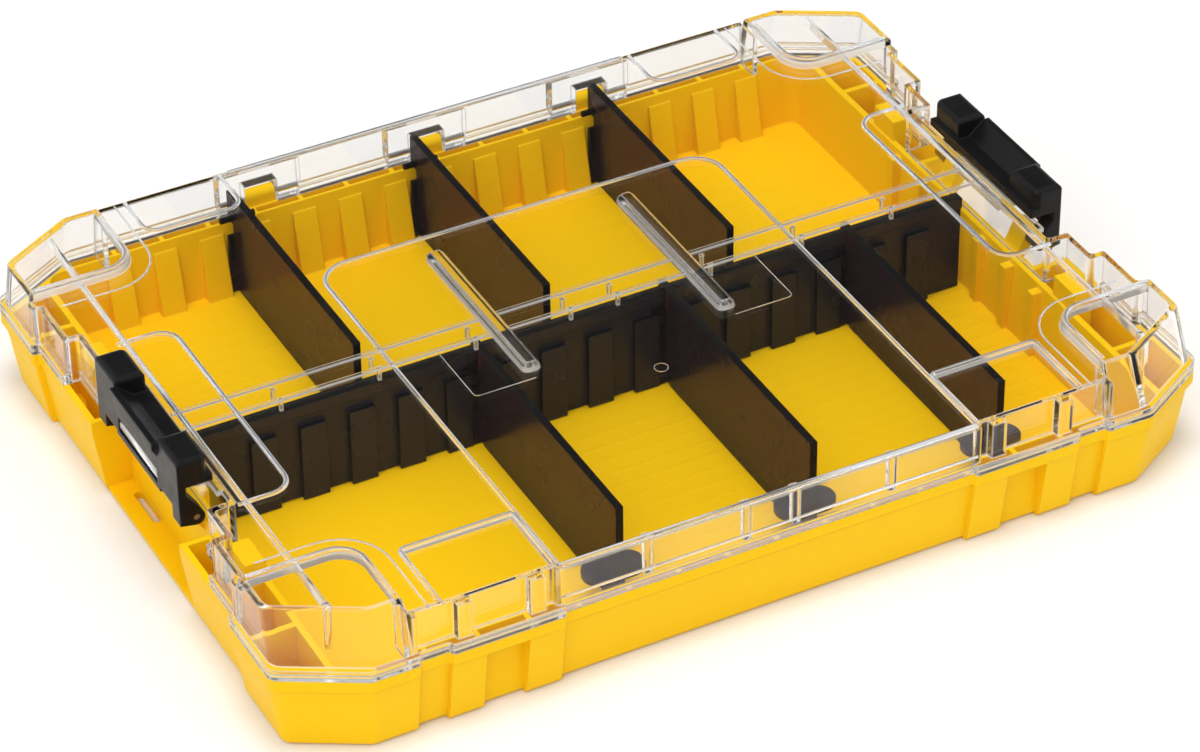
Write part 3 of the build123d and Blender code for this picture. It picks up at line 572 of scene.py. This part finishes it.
@dataclass(frozen=True)
class DrawnWire:
    """Plain drawn steel wire with fine scratches."""

    name: str = "pin_wire"
    colour: Colour = (0.45, 0.45, 0.47)
    scratch_scale: float = 900
    scratch_span: Pair = (0.3, 0.7)
    scratch_depth: float = 0.00001
    scratch_strength: float = 0.2
    roughness: Pair = (0.25, 0.45)

    def build(self) -> Material:
        """Lays down the shader nodes.

        Returns:
            The material.
        """
        sheet = NodeSheet(self.name)
        streak = sheet.stretch(sheet.noise(self.scratch_scale, detail=2), self.scratch_span, self.roughness)
        normal = sheet.bump(streak, self.scratch_strength, self.scratch_depth)
        return sheet.finish(sheet.principled(Base_Color=(*self.colour, 1), Metallic=1.0, Roughness=streak,
                                             Normal=normal))


@dataclass(frozen=True)
class Finishes:
    """The finishes of the whole case."""

    yellow: MouldedPlastic = MouldedPlastic("tray_yellow", (0.93, 0.565, 0.005), (0.915, 0.545, 0.004),
                                            (0.96, 0.65, 0.04), roughness=0.42, shine=0.10, rib_pitch=0.0078)
    clear: ClearPlastic = ClearPlastic("lid_clear", (1.0, 1.0, 0.995))
    # faint lines: less painted highlight on their edges and none on the upright steps
    trace: ClearPlastic = ClearPlastic("trace_clear", (1.0, 1.0, 0.995), pale=0.15, step_highlight=0.0)
    catch: ClearPlastic = ClearPlastic("catch_clear", (0.86, 0.86, 0.85), roughness=0.12, clarity=0.4)
    black: MouldedPlastic = MouldedPlastic("latch_black", (0.007, 0.007, 0.0075), (0.005, 0.005, 0.0055),
                                           (0.03, 0.03, 0.032), roughness=0.33, shine=0.2, edge=0.0012)
    smoke: SmokePlastic = SmokePlastic("divider_smoke", (0.024, 0.016, 0.022), (0.004, 0.004, 0.004),
                                       (0.55, 0.28, 0.24), broad_axis=0, share=0.27)
    long_smoke: SmokePlastic = SmokePlastic("long_divider_smoke", (0.020, 0.018, 0.024),
                                            (0.006, 0.006, 0.006), (0.4, 0.3, 0.2), broad_axis=1, share=0.08)
    wire: DrawnWire = DrawnWire()


def dress(piece: bpy.types.Object, material: Material) -> None:
    """Gives a piece one material in all its slots.

    Args:
        piece: the piece.
        material: its finish.
    """
    if not piece.data.materials:
        piece.data.materials.append(material)
    for slot in piece.material_slots:
        slot.material = material


# ------------------------------------------------------------------ lid beads
@dataclass(frozen=True)
class LidBeads:
    """Rounded beads, outlines and ribs moulded on the lid.

    Plan sizes are from the middle of the rim. A size ending in bead is a width and a height.

    Attributes:
        top, pad_top: heights of the lid's top and of its corner pads.
        sink: depth that a bead is let into its face.
        reach: distance of the ends of the outlines that run to the front or rear edge.
        panel, pad: X, Y and bend radius of a corner.
        rear_panel: X and bend radius of a corner.
        edge: half length and distance of the front and rear edge beads.
        side_panel, bay: near X, far X, Y and bend radius.
        pocket: near X, far X and distance ahead.
        pad_ends: X and distance at which a pad bead ends.
        wall_line: distance ahead and height of the line along the front wall.
        pad_rib: width, height and height of its roof above the ground.
        pad_rib_ends: distances of its rear and front ends.
        pad_bar: heights of its foot and roof, and its depth.
        gate: X, Y and radius of the ring.
        catch: near X, far X and half length of a catch rib.
        stamp: near X, far X, distances ahead of its rear and front, and bend radius.
    """

    top: float = 0.0540
    pad_top: float = 0.0575
    sink: float = 0.0003
    reach: float = 0.1376
    short_turn: float = 0.002
    panel: Point = (0.0840, 0.0620, 0.012)
    panel_bead: Pair = (0.0018, 0.0008)
    rear_panel: Pair = (0.0860, 0.008)
    rear_panel_bead: Pair = (0.0020, 0.0009)
    edge: Pair = (0.0840, 0.1380)
    edge_bead: Pair = (0.0026, 0.0008)
    side_panel: tuple[float, float, float, float] = (0.0895, 0.1290, 0.1150, 0.006)
    bay: tuple[float, float, float, float] = (0.1675, 0.1460, 0.0540, 0.008)
    bay_bead: Pair = (0.0020, 0.0009)
    pocket: Point = (0.0850, 0.1290, 0.1040)
    pocket_bead: Pair = (0.0020, 0.0012)
    ridge_x: float = 0.1645
    ridge_bead: Pair = (0.0024, 0.0012)
    pad: Point = (0.1414, 0.0945, 0.012)
    pad_ends: Pair = (0.1835, 0.1290)
    pad_inset: float = 0.0014
    pad_bead: Pair = (0.0018, 0.0007)
    outline_end: float = 0.1760
    outline_gap: float = 0.008
    outline_bead: Pair = (0.0008, 0.0003)
    wall_line: Pair = (0.1396, 0.0412)
    wall_line_radius: float = 0.0006
    pad_rib: Point = (0.0014, 0.0040, 0.0556)
    pad_rib_ends: Pair = (0.1260, 0.1200)
    pad_bar: Point = (0.0370, 0.0556, 0.0022)
    gate: Point = (0.0015, -0.0532, 0.0026)
    gate_bead: Pair = (0.0003, 0.0001)
    gate_steps: int = 24
    catch: Point = (0.1690, 0.1829, 0.01665)
    catch_z: float = 0.0474
    catch_height: float = 0.0046
    catch_power: float = 4
    stamp: tuple[float, float, float, float, float] = (0.0415, 0.0660, 0.0070, 0.0370, 0.002)
    stamp_bead: Pair = (0.0004, 0.0001)

    def settle(self, name: str, verts: Array, faces: Sequence[Sequence[int]], material: Material) -> None:
        """Makes a piece in its finish and lets it ride on the lid.

        Args:
            name: piece name.
            verts: (n, 3) places in metres.
            faces: vertex indices of each face.
            material: its finish.
        """
        piece = make_piece(name, verts, faces)
        dress(piece, material)
        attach(piece, "lid")

    def line(self, name: str, path: Array, profile: Array, material: Material) -> None:
        """Carries a profile along a line and closes both ends.

        Args:
            name: piece name.
            path: (n, 3) points.
            profile: (k, 2) outline.
            material: its finish.
        """
        verts, quads = sweep_profile(path, profile, False)
        count = len(profile)
        ends = [list(range(count)), [len(verts) - 1 - i for i in range(count)]]
        self.settle(name, verts, quads.tolist() + ends, material)

    def bead(self, name: str, corners: Sequence[Pair], radius: float, material: Material, size: Pair,
             base: float | None = None) -> None:
        """Makes one open bead along a line on the lid.

        Args:
            name: piece name.
            corners: corner points as (x, y) about the middle of the rim.
            radius: bend radius.
            material: its finish.
            size: bead width and height.
            base: height of the face that it stands on, the lid's top if not given.
        """
        flat = np.array([(x, y + MIDDLE_Y, base or self.top) for x, y in corners])
        self.line(name, rounded_path(flat, radius), half_round(*size, self.sink), material)

    def build(self, material: Material, catch_material: Material, trace_material: Material) -> None:
        """Makes every bead.

        Args:
            material: finish of the lid.
            catch_material: finish of the ribs in the latch windows.
            trace_material: finish of the faintest lines.
        """
        self.gate_ring(trace_material)
        x, y, turn = self.panel
        self.bead("panel_bead", [(-x, -self.reach), (-x, y), (x, y), (x, -self.reach)], turn, material,
                  self.panel_bead)
        edge_x, edge_y = self.edge
        for name, y in (("front_edge_bead", -edge_y), ("rear_edge_bead", edge_y)):
            self.bead(name, [(-edge_x, y), (edge_x, y)], self.short_turn, material, self.edge_bead)
        wall_y, wall_z = self.wall_line
        wall = np.array([(-edge_x, MIDDLE_Y - wall_y, wall_z), (edge_x, MIDDLE_Y - wall_y, wall_z)])
        self.line("front_wall_line", wall, full_round(self.wall_line_radius), material)
        x, turn = self.rear_panel  # its outline lies on the rear edge bead
        self.bead("rear_panel_bead", [(-x, self.reach), (-x, edge_y), (x, edge_y), (x, self.reach)], turn,
                  material, self.rear_panel_bead)
        for side in Side:
            self.side_beads(side, material)
            self.pad_ribs(side, material)
            self.pad_beads(side, material)
            self.stamp_outline(side, trace_material)
            self.catch_rib(side, catch_material)

    def gate_ring(self, material: Material) -> None:
        """Makes the small ring where the lid was filled in its mould, a bead on a circle.

        Args:
            material: its finish.
        """
        angle = np.linspace(0, 2 * math.pi, self.gate_steps, endpoint=False)
        x, y, radius = self.gate
        path = np.stack([x + radius * np.cos(angle), MIDDLE_Y + y + radius * np.sin(angle),
                         np.full_like(angle, self.top)], axis=1)
        verts, quads = sweep_profile(path, half_round(*self.gate_bead, self.sink), True)
        self.settle("gate_ring", verts, quads.tolist(), material)

    def side_beads(self, side: Side, material: Material) -> None:
        """Makes the panel, bay and pocket outlines and the ridge of one half of the lid.

        Args:
            side: the side of the lid.
            material: its finish.
        """
        s, tag = side.value, side.name.lower()
        near, far, y, turn = self.side_panel
        self.bead(f"side_panel_bead_{tag}",
                  [(s * near, self.reach), (s * near, y), (s * far, y), (s * far, self.reach)],
                  turn, material, self.panel_bead)
        near, far, y, turn = self.bay
        self.bead(f"bay_bead_{tag}", [(s * near, y), (s * far, y), (s * far, -y), (s * near, -y)],
                  turn, material, self.bay_bead)
        near, far, y = self.pocket
        self.bead(f"pocket_bead_{tag}",
                  [(s * near, -self.reach), (s * near, -y), (s * far, -y), (s * far, -self.reach)],
                  self.short_turn, material, self.pocket_bead)
        y = self.pad[1]
        self.bead(f"ridge_{tag}", [(s * self.ridge_x, y), (s * self.ridge_x, -y)], self.short_turn, material,
                  self.ridge_bead)

    def pad_ribs(self, side: Side, material: Material) -> None:
        """Makes the ribs that carry the ridge on inside the corner pads, and the bar at their front end.

        Args:
            side: the side of the lid.
            material: its finish.
        """
        x, tag = side.value * self.ridge_x, side.name.lower()
        width, height, roof = self.pad_rib
        for mark, end in (("rear", self.pad_rib_ends[0]), ("front", -self.pad_rib_ends[1])):
            start = math.copysign(self.pad[1], end)
            path = np.array([(x, MIDDLE_Y + start, roof - height / 2),
                             (x, MIDDLE_Y + end, roof - height / 2)])
            self.line(f"pad_rib_{mark}_{tag}", path, soft_box(width, height), material)
        low, high, depth = self.pad_bar
        y = MIDDLE_Y - self.pad_rib_ends[1]
        path = np.array([(x, y, (low + high) / 2), (x, y - depth, (low + high) / 2)])
        self.line(f"pad_bar_{tag}", path, soft_box(2 * width, high - low), material)

    def pad_beads(self, side: Side, material: Material) -> None:
        """Makes the bead on the edge of each corner pad and the outline on the top around it.

        Args:
            side: the side of the lid.
            material: its finish.
        """
        s, tag = side.value, side.name.lower()
        x, y, turn = self.pad
        side_end, front_end = self.pad_ends
        inset, gap = self.pad_inset, self.outline_gap
        for end, mark in ((1, "rear"), (-1, "front")):
            self.bead(f"pad_bead_{mark}_{tag}",
                      [(s * side_end, end * (y + inset)), (s * (x + inset), end * (y + inset)),
                       (s * (x + inset), end * front_end)],
                      turn - inset, material, self.pad_bead, self.pad_top)
            self.bead(f"pad_outline_{mark}_{tag}",
                      [(s * self.outline_end, end * (y - gap)), (s * (x - gap), end * (y - gap)),
                       (s * (x - gap), end * self.reach)],
                      turn + gap, material, self.outline_bead)

    def stamp_outline(self, side: Side, material: Material) -> None:
        """Makes the faint outline of the blank stamp field beside a grip bar.

        Args:
            side: the side of the lid.
            material: its finish.
        """
        s = side.value
        near, far, rear, front, turn = self.stamp
        self.bead(f"stamp_outline_{side.name.lower()}",
                  [(s * near, -front), (s * far, -front), (s * far, -rear)], turn, material, self.stamp_bead)

    def catch_rib(self, side: Side, material: Material) -> None:
        """Makes the pale rounded rib that shows in the window of a latch.

        Args:
            side: the side of the lid.
            material: its finish.
        """
        near, far, half = self.catch
        x = side.value * (near + far) / 2
        path = np.array([(x, MIDDLE_Y - half, self.catch_z), (x, MIDDLE_Y + half, self.catch_z)])
        profile = soft_box(far - near, self.catch_height, self.catch_power)
        self.line(f"catch_rib_{side.name.lower()}", path, profile, material)


# ------------------------------------------------------------------ studio
@dataclass(frozen=True)
class Lamp:
    """Square soft lamp that faces the case; shiny faces mirror it unless told otherwise."""

    name: str
    place: Point
    size: float
    power: float
    mirrored: bool = True

    def hang(self) -> None:
        """Adds the lamp to the scene."""
        data = bpy.data.lights.new(self.name, "AREA")
        data.size, data.energy = self.size, self.power
        lamp = bpy.data.objects.new(self.name, data)
        lamp.location = self.place
        lamp.rotation_euler = (-Vector(self.place)).to_track_quat("-Z", "Y").to_euler()
        lamp.visible_glossy = self.mirrored
        lamp.visible_transmission = self.mirrored
        bpy.context.scene.collection.objects.link(lamp)


@dataclass(frozen=True)
class Studio:
    """White table, soft lamps, sky and the camera; angles are in degrees."""

    lamps: tuple[Lamp, ...] = (Lamp("key_lamp", (-1.2, -0.9, 1.5), 1.6, 13.0),
                               Lamp("fill_lamp", (1.5, -0.7, 1.2), 1.4, 3.0),
                               Lamp("top_lamp", (-0.1, -0.15, 2.0), 0.8, 16.0, mirrored=False))
    table_half: float = 6.0
    table_colours: tuple[Colour, Colour] = ((0.88, 0.88, 0.88), (0.89, 0.89, 0.89))
    table_roughness: float = 0.9
    table_mottle: float = 3
    sky: float = 0.72
    card_level: float = 0.04
    card_toward: Point = (0.368, 0.714, 0.595)
    card_edges: Pair = (26.0, 13.0)
    camera_place: Point = (-0.64784, -1.26512, 1.06633)
    azimuth: float = 27.29
    elevation: float = 36.50
    roll: float = -0.70
    lens: float = 140.55
    sensor: float = 36.0
    clip: Pair = (0.05, 50.0)

    def build(self) -> None:
        """Makes the table, the lamps, the sky and the camera."""
        self.table()
        for lamp in self.lamps:
            lamp.hang()
        self.world()
        self.camera()

    def table(self) -> None:
        """White table top under the case."""
        sheet = NodeSheet("table_white")
        colour = sheet.blend(sheet.mottle(self.table_mottle, detail=2), *self.table_colours)
        surface = sheet.principled(Base_Color=colour, Roughness=self.table_roughness)
        corners = self.table_half * np.array([(-1, -1, 0), (1, -1, 0), (1, 1, 0), (-1, 1, 0)])
        table = make_piece("table_top", corners, [(0, 1, 2, 3)], smooth=False)
        dress(table, sheet.finish(surface))

    def world(self) -> None:
        """Even white sky with one dark card hung behind the case, which the lid's flat top mirrors."""
        world = bpy.data.worlds.new("white_sky")
        bpy.context.scene.world = world
        world.use_nodes = True
        nodes, links = world.node_tree.nodes, world.node_tree.links
        nodes.clear()
        place = nodes.new("ShaderNodeTexCoord")
        toward = nodes.new("ShaderNodeVectorMath")
        toward.operation = "DOT_PRODUCT"
        toward.inputs[1].default_value = Vector(self.card_toward).normalized()
        links.new(place.outputs["Generated"], toward.inputs[0])
        level = nodes.new("ShaderNodeMapRange")
        level.interpolation_type = "SMOOTHSTEP"
        outer, inner = (math.cos(math.radians(edge)) for edge in self.card_edges)
        for name, value in (("From Min", outer), ("From Max", inner),
                            ("To Min", self.sky), ("To Max", self.card_level)):
            level.inputs[name].default_value = value
        links.new(toward.outputs["Value"], level.inputs["Value"])
        light = nodes.new("ShaderNodeBackground")
        light.inputs["Color"].default_value = (1, 1, 1, 1)
        links.new(level.outputs[0], light.inputs["Strength"])
        output = nodes.new("ShaderNodeOutputWorld")
        links.new(light.outputs[0], output.inputs[0])

    def camera(self) -> None:
        """Long-lens camera above the front left corner."""
        data = bpy.data.cameras.new("camera")
        data.lens, data.sensor_width = self.lens, self.sensor
        data.clip_start, data.clip_end = self.clip
        camera = bpy.data.objects.new("camera", data)
        turn = Matrix.Rotation(math.radians(-self.azimuth), 4, "Z")
        tilt = Matrix.Rotation(math.radians(90 - self.elevation), 4, "X")
        roll = Matrix.Rotation(math.radians(self.roll), 4, "Z")
        camera.matrix_world = Matrix.Translation(self.camera_place) @ turn @ tilt @ roll
        bpy.context.scene.collection.objects.link(camera)
        bpy.context.scene.camera = camera


def dress_frame(finishes: Finishes) -> dict[str, Material]:
    """Dresses every CAD node by its material slot.

    Args:
        finishes: the finishes of the case.

    Returns:
        Materials by slot name.
    """
    materials = {
        "tray_yellow": finishes.yellow.build(), "lid_clear": finishes.clear.build(),
        "latch_black": finishes.black.build(), "divider_smoke": finishes.smoke.build(),
        "pin_steel": finishes.wire.build(), "catch": finishes.catch.build(), "trace": finishes.trace.build(),
    }
    for subpart in frame["record"]["subparts"]:
        dress(frame["nodes"][subpart["node"]], materials[subpart["material_slot"]])
        log.info("dressed %s", subpart["node"])
    dress(frame["nodes"]["long_divider"], finishes.long_smoke.build())
    return materials


def main() -> None:
    """Dresses the case, makes the lid's beads and the studio."""
    logging.basicConfig(level=logging.INFO)
    bpy.context.scene.view_settings.view_transform = "Standard"
    materials = dress_frame(Finishes())
    LidBeads().build(materials["lid_clear"], materials["catch"], materials["trace"])
    Studio().build()


if __name__ == "__main__":
    main()
